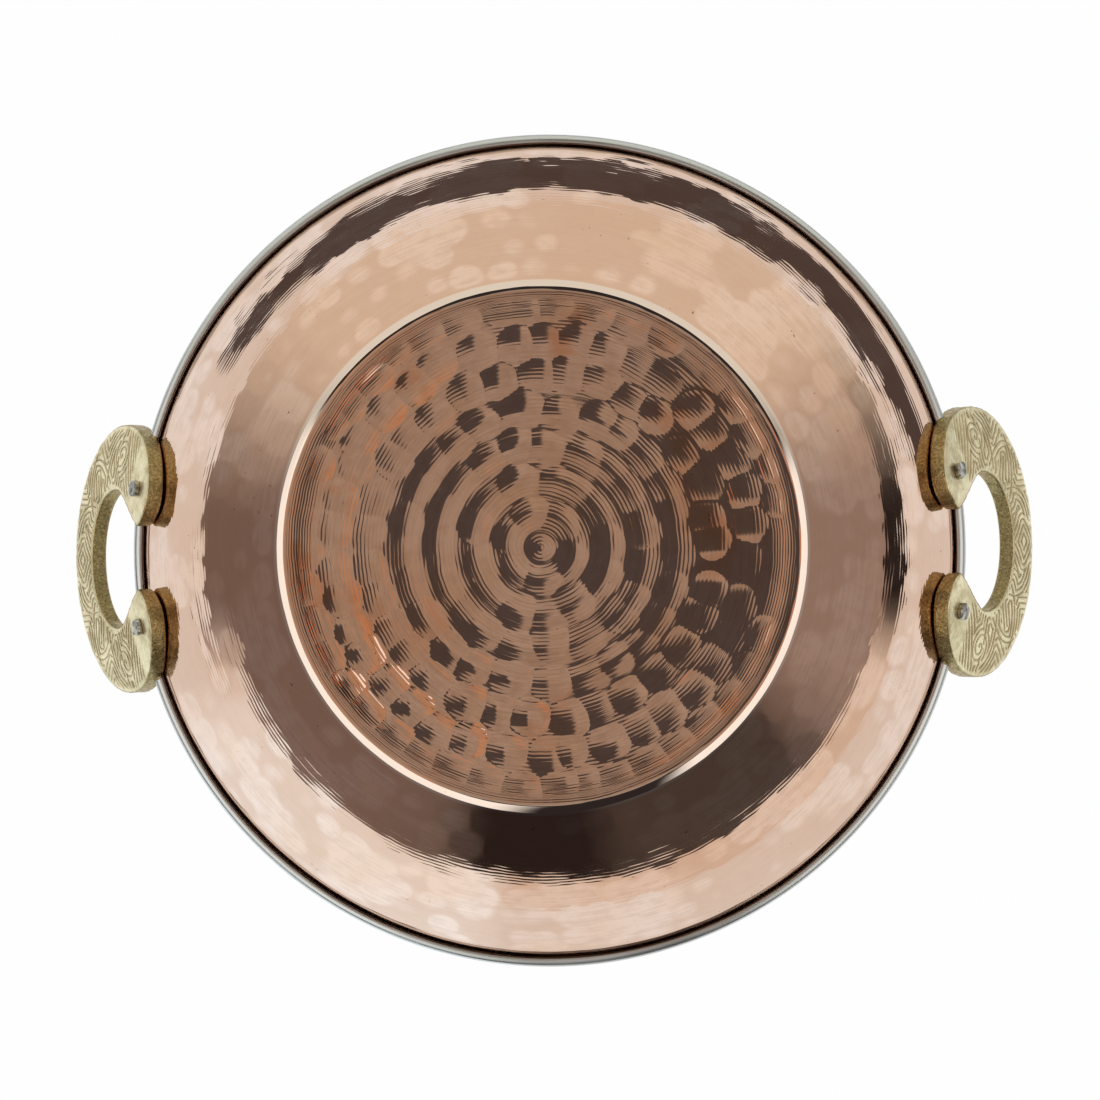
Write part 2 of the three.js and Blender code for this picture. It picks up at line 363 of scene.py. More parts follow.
def ring_points(distance, count):
    return np.stack([np.full(count, distance), ring_angles(count)], 1)


def shell_mesh():
    skin = Skin(faces_down=True)
    distances, counts = skin_rows()
    points = [ring_points(d, c) for d, c in zip(distances, counts)]
    places, normals, field = skin_points(np.concatenate(points))
    start = 0
    for distance, count in zip(distances, counts):
        part = slice(start, start + count)
        skin.ring(places[part], normals[part], distance, field[part] / MM)
        start += count
    for distance in np.linspace(distances[-1], NEAR_AXIS, BACK_ROWS):
        back = ring_points(distance, BACK_SEGMENTS)
        place, normal, _ = skin_points(back, depth=SHELL_T, marks=0.0)
        skin.ring(place, -normal, distance)
    return skin.mesh("outer_shell_looks")


# ---------------------------------------------------------------- steel liner

LINER_SEGMENTS = 384
LINER_CELL = 1.6 * MM
BEAD_ROWS = 28
LINER_GHOST = -0.12  # hammer marks show faintly through the lining


def bead_ring(radius, angle):
    """A ring of the curl. Angle pi is on the wall, pi/2 over the top."""
    out, up = math.cos(angle), math.sin(angle)
    n = np.array([out * math.sin(RIM_SLOPE) + up * math.cos(RIM_SLOPE),
                  up * math.sin(RIM_SLOPE) - out * math.cos(RIM_SLOPE)])
    around = ring_angles(LINER_SEGMENTS)
    r = bead_centre_r + radius * n[0]
    z = bead_centre_z + radius * n[1]
    place = np.stack([r * np.cos(around), r * np.sin(around), np.full(LINER_SEGMENTS, z)], 1)
    normal = np.stack([n[0] * np.cos(around), n[0] * np.sin(around),
                       np.full(LINER_SEGMENTS, n[1])], 1)
    return place, normal


def liner_mesh():
    skin = Skin(faces_down=False)
    rows = np.linspace(NEAR_AXIS, wall_end, round(wall_end / LINER_CELL))
    for distance in rows:
        place, normal, _ = skin_points(
            ring_points(distance, LINER_SEGMENTS), depth=stack, marks=-LINER_GHOST
        )
        skin.ring(place, -normal, distance)
    end_angle = -math.acos((CURL_CLEARANCE + LINER_T / 2 - bead_lift) / curl_mid_r)
    for angle in np.linspace(math.pi, end_angle, BEAD_ROWS)[1:]:
        place, normal = bead_ring(BEAD_R, angle)
        skin.ring(place, normal, wall_end + BEAD_R * (math.pi - angle))
    for angle in np.linspace(end_angle, math.pi, BEAD_ROWS // 2):
        place, normal = bead_ring(BEAD_R - LINER_T, angle)
        skin.ring(place, -normal, wall_end + BEAD_R * (math.pi - angle))
    for distance in np.linspace(wall_end, NEAR_AXIS, BACK_ROWS)[1:]:
        place, normal, _ = skin_points(
            ring_points(distance, BACK_SEGMENTS), depth=liner_depth, marks=0.0
        )
        skin.ring(place, normal, distance)
    return skin.mesh("inner_liner_looks")


# ---------------------------------------------------------------- handle's outline

HANDLE_DROP = 6.4 * MM
HANDLE_T = 5 * MM
HANDLE_STANDOFF = 0.4 * MM
HANDLE_HALF = 41 * MM
HANDLE_TOP = 49 * MM
SHOULDER_V = 22 * MM
GRIP_WIDTH = 14.1 * MM
PAD_CENTRE = np.array([19.3, 2.9]) * MM
PAD_R = 10.4 * MM
PAD_OUTER_END = math.radians(-75)
PAD_INNER_END = math.radians(-161)
GAP_SIDE = np.array([20.9, 17.5]) * MM
GRIP_PULL = 25.4 * MM
SHOULDER_PULL_UP = 18.6 * MM
SHOULDER_PULL_DOWN = 15 * MM
LEG_PULL = np.array([33.6, -4]) * MM
GAP_TOP_PULL = 15 * MM
GAP_HIGH_PULL = np.array([21.9, 27]) * MM
GAP_LOW_PULL = np.array([19.5, 11]) * MM
THROAT_PULL = np.array([11.4, 4.6]) * MM

handle_z = bead_centre_z - HANDLE_DROP
handle_slope = math.acos((wall_centre_z - handle_z) / wall_arc_r)
handle_r = wall_centre_r + wall_arc_r * math.sin(handle_slope)
bend_r = handle_r / math.sin(handle_slope)


def bezier(t, *corners):
    a, b, c, d = [np.asarray(p, float) for p in corners]
    t = np.asarray(t)[..., None]
    k = 1 - t
    return k ** 3 * a + 3 * k * k * t * b + 3 * k * t * t * c + t ** 3 * d


def on_pad(angle):
    turn = np.asarray(angle)
    return PAD_CENTRE + PAD_R * np.stack([np.cos(turn), np.sin(turn)], -1)


SHOULDER = np.array([HANDLE_HALF, SHOULDER_V])
GRIP_INNER = np.array([0, HANDLE_TOP - GRIP_WIDTH])
STRIP_END = 3.0


def outer_edge(t):
    """The horseshoe's outer edge: 0 mid-grip, 1 shoulder, 2 pad, 3 the pad's lowest point."""
    above, below = SHOULDER + [0, SHOULDER_PULL_UP], SHOULDER - [0, SHOULDER_PULL_DOWN]
    grip = bezier(t, (0, HANDLE_TOP), (GRIP_PULL, HANDLE_TOP), above, SHOULDER)
    leg = bezier(t - 1, SHOULDER, below, LEG_PULL, on_pad(PAD_OUTER_END))
    middle = (PAD_OUTER_END + PAD_INNER_END) / 2
    pad = on_pad(PAD_OUTER_END + (middle - PAD_OUTER_END) * (t - 2))
    return np.where((t < 1)[:, None], grip, np.where((t < 2)[:, None], leg, pad))


def inner_edge(t):
    """The horseshoe's inner edge, with the same stations as the outer one."""
    grip = bezier(t, GRIP_INNER, (GAP_TOP_PULL, GRIP_INNER[1]), GAP_HIGH_PULL, GAP_SIDE)
    leg = bezier(t - 1, GAP_SIDE, GAP_LOW_PULL, THROAT_PULL, on_pad(PAD_INNER_END))
    middle = (PAD_OUTER_END + PAD_INNER_END) / 2
    pad = on_pad(PAD_INNER_END + (middle - PAD_INNER_END) * (t - 2))
    return np.where((t < 1)[:, None], grip, np.where((t < 2)[:, None], leg, pad))


def strip(t, w):
    """A point of the horseshoe's face. t runs along it (see outer_edge), w from inner to outer."""
    side = np.where(t < 0, -1.0, 1.0)
    t = np.abs(t)
    w = np.asarray(w)[..., None]
    point = (1 - w) * inner_edge(t) + w * outer_edge(t)
    return point * np.stack([side, np.ones_like(side)], 1)


# ---------------------------------------------------------------- engraving

RIBBON = 1.75 * MM  # distance from one cut line to the next
LINE_DEPTH = 0.30 * MM
LINE_STEP = 0.2 * MM
LINE_SHARE = 0.56  # how much of a ribbon's width the cut takes
ENGRAVED_END = (1.42, 1.56)  # where the engraving fades out along the strip, before the rivet
PLAIN_BORDER = 0.07


def stroke(t0, w0, t1, w1, bow=0.0, count=90):
    """A line on the strip from (t0, w0) to (t1, w1), bowed sideways by a share of the width."""
    k = np.linspace(0, 1, count)
    return strip(t0 + (t1 - t0) * k, w0 + (w1 - w0) * k + bow * np.sin(math.pi * k))


def volute(centre, outer, inner, turns, start, hand):
    k = np.linspace(0, 1, int(70 * turns))
    radius = outer + (inner - outer) * k ** 0.8
    angle = start + hand * TURN * turns * k
    return centre + np.stack([radius * np.cos(angle), radius * np.sin(angle)], 1)


def lozenge(half_t, half_w):
    corners = [(0, 0.5 + half_w), (half_t, 0.5), (0, 0.5 - half_w), (-half_t, 0.5)]
    return [stroke(*corners[i], *corners[(i + 1) % 4], count=30) for i in range(4)]


def engraving():
    """Spines of a plain scroll: a lozenge mid-grip, S-shaped leaves and a volute on each shoulder.
    The cut lines run along the spines and side by side between them."""
    lines = lozenge(0.09, 0.30)
    for side in (1, -1):
        for k in range(4):
            t = 0.12 + 0.21 * k
            low, high = (0.12, 0.88) if k % 2 else (0.88, 0.12)
            lines.append(stroke(side * t, low, side * (t + 0.30), high, bow=0.13))
            lines.append(stroke(side * (t + 0.15), low, side * (t + 0.27), 0.5, bow=-0.16))
        centre = strip(np.array([side * 1.10]), np.array([0.56]))[0]
        start = math.pi / 2 - side * 0.9
        lines.append(volute(centre, 5.2 * MM, 0.4 * MM, 1.6, start, side))
        lines.append(stroke(side * 1.24, 0.94, side * 1.60, 0.30, bow=-0.16))
    return np.concatenate([resampled(line) for line in lines])


def resampled(line):
    length = np.concatenate([[0], np.cumsum(np.linalg.norm(np.diff(line, axis=0), axis=1))])
    wanted = np.arange(0, length[-1], LINE_STEP)
    return np.stack([np.interp(wanted, length, line[:, i]) for i in (0, 1)], 1)


def nearest(points, targets):
    """Distance from each point to the nearest target."""
    tree = KDTree(len(targets))
    for i, (x, y) in enumerate(targets):
        tree.insert((x, y, 0), i)
    tree.balance()
    return np.array([tree.find((x, y, 0))[2] for x, y in points])


# ---------------------------------------------------------------- handle's mesh

STATIONS = 900
FACE_POINTS = 56
SIDE_POINTS = 9
BACK_POINTS = 18
FACE_EDGE = 0.55 * MM  # radius of the face's worn edge
BACK_EDGE = 0.35 * MM
FACE_CROWN = 0.35 * MM
BEAD_TOUCH = 0.08 * MM  # the channel in the handle's back to the rim bead
END_GAP = 0.004  # how far short of its lowest point each pad stops, along the strip
MOST_INSET = 0.45  # share of the strip's width that an edge may take
COARSE_CAST = (0.05 * MM, 3.5 * MM)  # height and length of the casting's unevenness
FINE_CAST = (0.02 * MM, 1.2 * MM)


def handle_section():
    """One turn round the plate: share across the width, share of the height, and which side."""
    across = []
    for w in np.linspace(0, 1, FACE_POINTS):
        across.append((w, 1.0, "face"))
    for k in np.linspace(0, 1, SIDE_POINTS + 2)[1:-1]:
        across.append((1.0, 1 - k, "side"))
    for w in np.linspace(1, 0, BACK_POINTS):
        across.append((w, 0.0, "back"))
    for k in np.linspace(0, 1, SIDE_POINTS + 2)[1:-1]:
        across.append((0.0, k, "side"))
    return across


def handle_frame():
    u = np.array([0, 1, 0])
    v = np.array([math.cos(handle_slope), 0, math.sin(handle_slope)])
    return u, v, np.cross(u, v), np.array([handle_r, 0, handle_z])


def bent(flat, height):
    """Takes points of the flat plate, with heights above its back, to the row frame."""
    u, v, n, origin = handle_frame()
    lift = np.sqrt((bend_r + HANDLE_STANDOFF + height) ** 2 - flat[:, 0] ** 2) - bend_r
    return origin + flat[:, :1] * u + flat[:, 1:] * v + lift[:, None] * n


def clear_of_bead(places):
    """Moves points of the back out of the bead's way, which leaves a channel."""
    r = np.hypot(places[:, 0], places[:, 1])
    d = np.stack([r - bead_centre_r, places[:, 2] - bead_centre_z], 1)
    length = np.linalg.norm(d, axis=1)
    reach = np.maximum(length, BEAD_R + BEAD_TOUCH)
    new = d * (reach / np.maximum(length, 1e-6))[:, None]
    scale = (bead_centre_r + new[:, 0]) / r
    return np.stack([places[:, 0] * scale, places[:, 1] * scale, bead_centre_z + new[:, 1]], 1)


def rounded(share, edge_low, edge_high, height):
    """Inset of the side at a share of the height, with a worn edge above and below."""
    up = share * height
    low = np.clip(1 - up / edge_low, 0, 1)
    high = np.clip(1 - (height - up) / edge_high, 0, 1)
    return edge_low * (1 - np.sqrt(1 - low ** 2)) + edge_high * (1 - np.sqrt(1 - high ** 2))


def engraved(flat):
    """How deep the engraving is cut at points of the face, from 0 to 1."""
    phase = nearest(flat, engraving()) / RIBBON
    off = np.abs(phase - np.round(phase))
    return np.exp(-((2 * off / LINE_SHARE) ** 2) * 2)


def engraved_share(stations):
    """How much of the engraving each point of the face has: none on the pads and at the edges."""
    along = 1 - smooth(*ENGRAVED_END, np.abs(stations))
    w = np.linspace(0, 1, FACE_POINTS)
    across = smooth(0, PLAIN_BORDER, w) * smooth(0, PLAIN_BORDER, 1 - w)
    return np.outer(along, across).reshape(-1)


def handle_mesh():
    stations = np.linspace(-1, 1, STATIONS) * (STRIP_END - END_GAP)
    inner, outer = strip(stations, np.zeros(STATIONS)), strip(stations, np.ones(STATIONS))
    width = np.linalg.norm(outer - inner, axis=1)
    flats, heights, kinds = [], [], []
    for w, share, kind in handle_section():
        edge = FACE_EDGE if kind == "face" else BACK_EDGE
        inset = np.minimum(edge, MOST_INSET * width)
        if kind == "side":
            inset = rounded(np.full(STATIONS, share), BACK_EDGE, FACE_EDGE, HANDLE_T)
            inset = np.minimum(inset, MOST_INSET * width)
        reach = (inset + w * (width - 2 * inset)) / np.maximum(width, 1e-9)
        flat = inner + (outer - inner) * reach[:, None]
        height = np.full(STATIONS, share * HANDLE_T)
        if kind == "face":
            height -= FACE_CROWN * (2 * w - 1) ** 6
        flats.append(flat)
        heights.append(height)
        kinds.append(np.full(STATIONS, {"face": 1.0, "side": 0.0, "back": -1.0}[kind]))
    loop = len(flats)
    flat = np.stack(flats, 1).reshape(-1, 2)
    height = np.stack(heights, 1).reshape(-1)
    kind = np.stack(kinds, 1).reshape(-1)

    face = kind > 0
    cut = np.zeros(len(flat))
    cut[face] = engraved(flat[face]) * engraved_share(stations)
    solid = np.column_stack([flat, height])
    rough = COARSE_CAST[0] * waves(solid, COARSE_CAST[1], 40, SEED + 4)
    rough += FINE_CAST[0] * waves(solid, FINE_CAST[1], 40, SEED + 5)
    height = height - LINE_DEPTH * cut + np.where(face, 0.5 * rough, 0)
    places = bent(flat, height)
    side = kind == 0
    centre = places.reshape(STATIONS, loop, 3).mean(1, keepdims=True)
    away = (places.reshape(STATIONS, loop, 3) - centre).reshape(-1, 3)
    away /= np.linalg.norm(away, axis=1)[:, None]
    places[side] += away[side] * rough[side, None]
    hidden = kind <= 0
    places[hidden] = clear_of_bead(places[hidden])

    faces = []
    for i in range(STATIONS - 1):
        for j in range(loop):
            k = (j + 1) % loop
            a, b = i * loop + j, i * loop + k
            faces.append((a, b, b + loop, a + loop))
    faces.append(tuple(range(loop))[::-1])
    faces.append(tuple((STATIONS - 1) * loop + j for j in range(loop)))
    data = mesh_of("handle_looks", places, faces)
    layer = data.attributes.new("engraved", "FLOAT", "POINT")
    layer.data.foreach_set("value", cut.astype(np.float32))
    layer = data.attributes.new("cast_side", "FLOAT", "POINT")
    layer.data.foreach_set("value", (kind <= 0).astype(np.float32))
    return data


# ---------------------------------------------------------------- rivets

RIVET_U = 20 * MM
RIVET_V = 0.8 * MM
SHANK_R = 2 * MM
OUTER_HEAD_R = 2.5 * MM
OUTER_HEAD_H = 1.6 * MM
INNER_HEAD_R = 4 * MM
INNER_HEAD_H = 1.4 * MM
RIVET_SEGMENTS = 48
HEAD_SEAT = 0.06 * MM  # the heads' undersides stand off this much
PEEN_SEAT = 0.05 * MM
DENT = (0.16 * MM, 3.2 * MM)  # depth and length of the hammer dents in the peened end
HEAD_UNDER = 0.97  # the undersides' radii, as shares of the heads' own
PEEN_UNDER = 0.96
PEEN_LOW, PEEN_SHOULDER, PEEN_TOP = 0.12, 0.72, 0.98  # levels, as shares of its height
PEEN_FLAT = 0.82  # radius of its top, as a share of its own
DENTED_FROM = 0.7  # its top is dented above this share of its height
TOP_DENT = 0.8
TOP_SINK = 0.06 * MM


def rivet_profile():
    """Radius and height, from the domed head inside the bowl to the peened end outside."""
    inner_face = -stack - GAP
    outer_face = HANDLE_STANDOFF + HANDLE_T + PEEN_SEAT
    points = []
    for k in np.linspace(0.04, 1, 9):
        angle = k * math.pi / 2
        points.append((INNER_HEAD_R * math.sin(angle), inner_face - INNER_HEAD_H * math.cos(angle)))
    points.append((INNER_HEAD_R * HEAD_UNDER, inner_face + HEAD_SEAT))
    points.append((SHANK_R, inner_face + HEAD_SEAT))
    points.append((SHANK_R, outer_face))
    points.append((OUTER_HEAD_R * PEEN_UNDER, outer_face + 0.02 * MM))
    for k in np.linspace(0, 1, 5):
        level = PEEN_LOW + (PEEN_SHOULDER - PEEN_LOW) * k
        points.append((OUTER_HEAD_R, outer_face + OUTER_HEAD_H * level))
    for k in np.linspace(0.15, 1, 5):
        angle = k * math.pi / 2
        r = OUTER_HEAD_R * (PEEN_FLAT + (1 - PEEN_FLAT) * math.cos(angle))
        level = PEEN_SHOULDER + (PEEN_TOP - PEEN_SHOULDER) * math.sin(angle)
        points.append((r, outer_face + OUTER_HEAD_H * level))
    for k in np.linspace(0.75, 0.03, 7):
        points.append((OUTER_HEAD_R * k, outer_face + OUTER_HEAD_H * (1 - 0.03 * k)))
    return points


def rivet_place(side):
    """Takes a rivet's own axes to the row frame, for the rivet at +u or -u of the right handle."""
    u, v, n, origin = handle_frame()
    turn = side * math.asin(RIVET_U / bend_r)
    local_x = math.cos(turn) * u - math.sin(turn) * n
    axis = math.sin(turn) * u + math.cos(turn) * n
    centre = origin + side * RIVET_U * u + RIVET_V * v + bend_r * (math.cos(turn) - 1) * n
    return local_x, v, axis, centre


def rivet_mesh(side, seed):
    around = ring_angles(RIVET_SEGMENTS)
    profile = rivet_profile()
    local = np.array([
        (r * math.cos(a), r * math.sin(a), z) for r, z in profile for a in around
    ])
    outside = local[:, 2] > HANDLE_STANDOFF + HANDLE_T
    dent = DENT[0] * waves(local, DENT[1], 20, seed)
    shrink = 1 + np.where(outside, dent / OUTER_HEAD_R, 0)
    local[:, :2] *= shrink[:, None]
    top = local[:, 2] > HANDLE_STANDOFF + HANDLE_T + DENTED_FROM * OUTER_HEAD_H
    local[top, 2] += TOP_DENT * dent[top] - TOP_SINK
    x, y, axis, centre = rivet_place(side)
    places = centre + local[:, :1] * x + local[:, 1:2] * y + local[:, 2:] * axis
    faces = []
    for i in range(len(profile) - 1):
        for j in range(RIVET_SEGMENTS):
            a, b = i * RIVET_SEGMENTS + j, i * RIVET_SEGMENTS + (j + 1) % RIVET_SEGMENTS
            faces.append((a, b, b + RIVET_SEGMENTS, a + RIVET_SEGMENTS))
    last = (len(profile) - 1) * RIVET_SEGMENTS
    faces.append(tuple(range(RIVET_SEGMENTS))[::-1])
    faces.append(tuple(last + j for j in range(RIVET_SEGMENTS)))
    return mesh_of("rivet_looks", places, faces)


# ---------------------------------------------------------------- materials


class Nodes:
    """Short names for the nodes of one material or world."""

    def __init__(self, tree):
        self.tree = tree
        tree.nodes.clear()

    def add(self, kind, inputs=None, **settings):
        node = self.tree.nodes.new("ShaderNode" + kind)
        for key, value in settings.items():
            setattr(node, key, value)
        for key, value in (inputs or {}).items():
            self.feed(node.inputs[key], value)
        return node

    def feed(self, socket, value):
        if isinstance(value, bpy.types.NodeSocket):
            self.tree.links.new(value, socket)
        else:
            socket.default_value = value

    def math(self, operation, *values):
        node = self.add("Math", operation=operation)
        for socket, value in zip(node.inputs, values):
            self.feed(socket, value)
        return node.outputs[0]

    def ease(self, value, low, high, to_low=0.0, to_high=1.0):
        """A smooth step of value from low to high."""
        node = self.add("MapRange", interpolation_type="SMOOTHSTEP")
        for key, v in (("Value", value), ("From Min", low), ("From Max", high),
                       ("To Min", to_low), ("To Max", to_high)):
            self.feed(node.inputs[key], v)
        return node.outputs["Result"]

    def mix(self, factor, a, b):
        node = self.add("Mix", data_type="RGBA")
        self.feed(node.inputs["Factor"], factor)
        self.feed(node.inputs[6], a)
        self.feed(node.inputs[7], b)
        return node.outputs[2]

    def noise(self, coordinates, scale, detail=3.0, roughness=0.5):
        node = self.add("TexNoise", {"Scale": scale, "Detail": detail, "Roughness": roughness})
        self.feed(node.inputs["Vector"], coordinates)
        return node.outputs[0]


def rgb(r, g, b):
    return (r, g, b, 1.0)


def new_material(name):
    material = bpy.data.materials.new(name)
    material.use_nodes = True
    nodes = Nodes(material.node_tree)
    place = nodes.add("NewGeometry").outputs["Position"]
    shader = nodes.add("BsdfPrincipled", {"Metallic": 1.0})
    nodes.add("OutputMaterial", {"Surface": shader.outputs[0]})
    return material, nodes, place, shader


def groove(nodes, distance, lines, wobble):
    """Height of turned lines: a sine across the section, pushed about by a noise."""
    spacing, height = lines
    phase = nodes.math("MULTIPLY", distance, TURN / spacing)
    phase = nodes.math("MULTIPLY_ADD", wobble, WOBBLE, phase)
    return nodes.math("MULTIPLY", nodes.math("SINE", phase), height)


COPPER_BRIGHT = rgb(0.93, 0.66, 0.54)
COPPER_WARM = rgb(0.90, 0.59, 0.44)
COPPER_ORANGE_REFLECTION = rgb(0.88, 0.43, 0.24)
COPPER_SPECK = rgb(0.34, 0.19, 0.13)
# painted highlight colour of the corner round the base
COPPER_PAINTED_HIGHLIGHT = rgb(0.97, 0.90, 0.84)
COPPER_DULL = rgb(0.74, 0.49, 0.37)
HOLLOW_TINT = rgb(0.76, 0.48, 0.35)
STEEL_DIM, STEEL_LIGHT = rgb(0.62, 0.62, 0.605), rgb(0.72, 0.72, 0.71)
BRASS_DIM, BRASS_TONE_AND_HIGHLIGHT = rgb(0.66, 0.54, 0.31), rgb(0.95, 0.82, 0.54)
BRASS_CUT = rgb(0.48, 0.35, 0.18)
CAST_DIM, CAST_LIGHT = rgb(0.25, 0.18, 0.075), rgb(0.56, 0.43, 0.20)
RIVET_DIM, RIVET_LIGHT = rgb(0.20, 0.18, 0.155), rgb(0.56, 0.53, 0.48)
LEDGE = (72.2 * MM, 76.2 * MM)  # the corner round the base, painted paler as a highlight
LEDGE_FADE = 0.6 * MM
LEDGE_HIGHLIGHT_SHARE = 0.55
BASE_LINES = (1.1 * MM, 4.4e-6)  # spacing and height of the turned lines
WALL_LINES = (1.3 * MM, 2.6e-6)
EDGE_LINES = (0.74 * MM, 9e-6)
STEEL_LINES = (0.5 * MM, 0.9e-6)
WOBBLE = 9.0
DRAWN_ON_WALL, DRAWN_ON_BASE = 36e-6, 9e-6  # height of the marks drawn out round the bowl


def round_the_bowl(nodes, place, distance, across, along):
    """Coordinates for marks that are drawn out round the bowl: across and along its section."""
    axes = nodes.add("SeparateXYZ", {"Vector": place}).outputs
    level = nodes.add("CombineXYZ", {"X": axes[0], "Y": axes[1]}).outputs[0]
    wide = nodes.add("VectorMath", {0: level, "Scale": across}, operation="SCALE").outputs[0]
    fine = nodes.add("CombineXYZ", {"Z": nodes.math("MULTIPLY", distance, along)}).outputs[0]
    return nodes.add("VectorMath", {0: wide, 1: fine}, operation="ADD").outputs[0]


def copper_material():
    material, nodes, place, shader = new_material("hammered_copper")
    distance = nodes.add("Attribute", attribute_name="section").outputs["Fac"]
    hollow = nodes.add("Attribute", attribute_name="hollow").outputs["Fac"]
    on_base = nodes.ease(distance, corner_end, BASE_FLAT_R - 1 * MM)
    cloud = nodes.noise(place, 28.0, 4.0)
    colour = nodes.mix(nodes.ease(cloud, 0.42, 0.68), COPPER_BRIGHT, COPPER_WARM)
    streaks = nodes.noise(round_the_bowl(nodes, place, distance, 60.0, 1100.0), 1.0, 3.0)
    mottle = nodes.math("ADD", nodes.noise(place, 210.0, 4.0, 0.6), streaks)
    colour = nodes.mix(nodes.ease(mottle, 0.85, 1.25, 0.0, 0.55), colour, COPPER_DULL)
    ghost = nodes.ease(hollow, 0.0, 0.045, 0.75, 0.0)
    ghost = nodes.math("MULTIPLY", ghost, nodes.ease(on_base, 0.0, 1.0, 1.0, 0.2))
    colour = nodes.mix(ghost, colour, HOLLOW_TINT)
    # painted reflection: orange patches in a ring inside the base's edge stand for warm reflections
    rim_zone = nodes.math("MULTIPLY", nodes.ease(distance, 30 * MM, 56 * MM),
                          nodes.ease(distance, 74 * MM, 68 * MM))
    orange_reflection = nodes.math("MULTIPLY", nodes.ease(nodes.noise(place, 34.0, 5.0, 0.6), 0.50, 0.66), rim_zone)
    colour = nodes.mix(nodes.math("MULTIPLY", orange_reflection, 0.8), colour, COPPER_ORANGE_REFLECTION)
    pit = nodes.ease(nodes.noise(place, 620.0, 2.0, 0.6), 0.70, 0.75)
    rare = nodes.ease(nodes.noise(place, 60.0, 2.0), 0.52, 0.62)
    colour = nodes.mix(nodes.math("MULTIPLY", pit, rare), colour, COPPER_SPECK)
    # painted highlight: the corner round the base is made paler to stand for the bright ring of light
    # on it
    ledge_highlight = nodes.math("MULTIPLY", nodes.ease(distance, LEDGE[0], LEDGE[0] + LEDGE_FADE),
                      nodes.ease(distance, LEDGE[1], LEDGE[1] - LEDGE_FADE))
    colour = nodes.mix(nodes.math("MULTIPLY", ledge_highlight, LEDGE_HIGHLIGHT_SHARE), colour, COPPER_PAINTED_HIGHLIGHT)
    nodes.feed(shader.inputs["Base Color"], colour)
    roughness = nodes.ease(nodes.noise(place, 60.0, 4.0), 0.3, 0.7, 0.02, 0.06)
    nodes.feed(shader.inputs["Roughness"], roughness)

    wobble = nodes.noise(place, 90.0, 2.0)
    strength = nodes.ease(nodes.noise(place, 45.0, 2.0), 0.3, 0.7, 0.25, 1.5)
    base_lines = nodes.math("MULTIPLY", groove(nodes, distance, BASE_LINES, wobble), on_base)
    wall_lines = nodes.math("MULTIPLY", groove(nodes, distance, WALL_LINES, wobble),
                            nodes.math("SUBTRACT", 1.0, on_base))
    edge = nodes.math("MULTIPLY", nodes.ease(distance, 64 * MM, 67 * MM),
                      nodes.ease(distance, 72.2 * MM, 71.4 * MM))
    edge_lines = nodes.math("MULTIPLY", groove(nodes, distance, EDGE_LINES, wobble), edge)
    height = nodes.math("MULTIPLY", nodes.math("ADD", base_lines, wall_lines), strength)
    height = nodes.math("ADD", height, edge_lines)
    drawn = nodes.noise(round_the_bowl(nodes, place, distance, 50.0, 360.0), 1.0, 2.0)
    on_wall = nodes.ease(on_base, 0.0, 1.0, DRAWN_ON_WALL, DRAWN_ON_BASE)
    height = nodes.math("ADD", height, nodes.math("MULTIPLY", drawn, on_wall))
    height = nodes.math("MULTIPLY_ADD", nodes.noise(place, 420.0, 3.0), 1.2e-6, height)
    bump = nodes.add("Bump", {"Strength": 1.0, "Distance": 1.0, "Height": height})
    nodes.feed(shader.inputs["Normal"], bump.outputs[0])
    return material


def steel_material():
    material, nodes, place, shader = new_material("polished_steel")
    distance = nodes.add("Attribute", attribute_name="section").outputs["Fac"]
    smear = nodes.noise(place, 35.0, 4.0)
    colour = nodes.mix(smear, STEEL_DIM, STEEL_LIGHT)
    nodes.feed(shader.inputs["Base Color"], colour)
    nodes.feed(shader.inputs["Roughness"], nodes.ease(smear, 0.3, 0.7, 0.26, 0.38))
    wobble = nodes.noise(place, 60.0, 2.0)
    height = groove(nodes, distance, STEEL_LINES, wobble)
    height = nodes.math("MULTIPLY_ADD", nodes.noise(place, 1300.0, 2.0), 0.6e-6, height)
    bump = nodes.add("Bump", {"Strength": 1.0, "Distance": 1.0, "Height": height})
    nodes.feed(shader.inputs["Normal"], bump.outputs[0])
    return material


def brass_material():
    material, nodes, place, shader = new_material("cast_brass")
    engraved = nodes.add("Attribute", attribute_name="engraved").outputs["Fac"]
    side = nodes.add("Attribute", attribute_name="cast_side").outputs["Fac"]
    # the handle's brass is mottled at random; its pale spots are partly the brass's own uneven tone,
    # partly painted highlights
    cloud = nodes.ease(nodes.noise(place, 160.0, 5.0, 0.6), 0.32, 0.62)
    colour = nodes.mix(cloud, BRASS_DIM, BRASS_TONE_AND_HIGHLIGHT)
    colour = nodes.mix(nodes.ease(engraved, 0.10, 0.95), colour, BRASS_CUT)
    cast = nodes.ease(nodes.noise(place, 1500.0, 5.0, 0.7), 0.36, 0.70)
    rough_side = nodes.mix(cast, CAST_DIM, CAST_LIGHT)
    colour = nodes.mix(side, colour, rough_side)
    nodes.feed(shader.inputs["Base Color"], colour)
    grain = nodes.noise(place, 700.0, 4.0, 0.6)
    roughness = nodes.ease(grain, 0.3, 0.75, 0.30, 0.48)
    nodes.feed(shader.inputs["Roughness"], roughness)
    coarse = nodes.noise(place, 1300.0, 3.0, 0.6)
    amount = nodes.ease(side, 0.0, 1.0, 14e-6, 160e-6)
    height = nodes.math("MULTIPLY", coarse, amount)
    bump = nodes.add("Bump", {"Strength": 1.0, "Distance": 1.0, "Height": height})
    nodes.feed(shader.inputs["Normal"], bump.outputs[0])
    return material


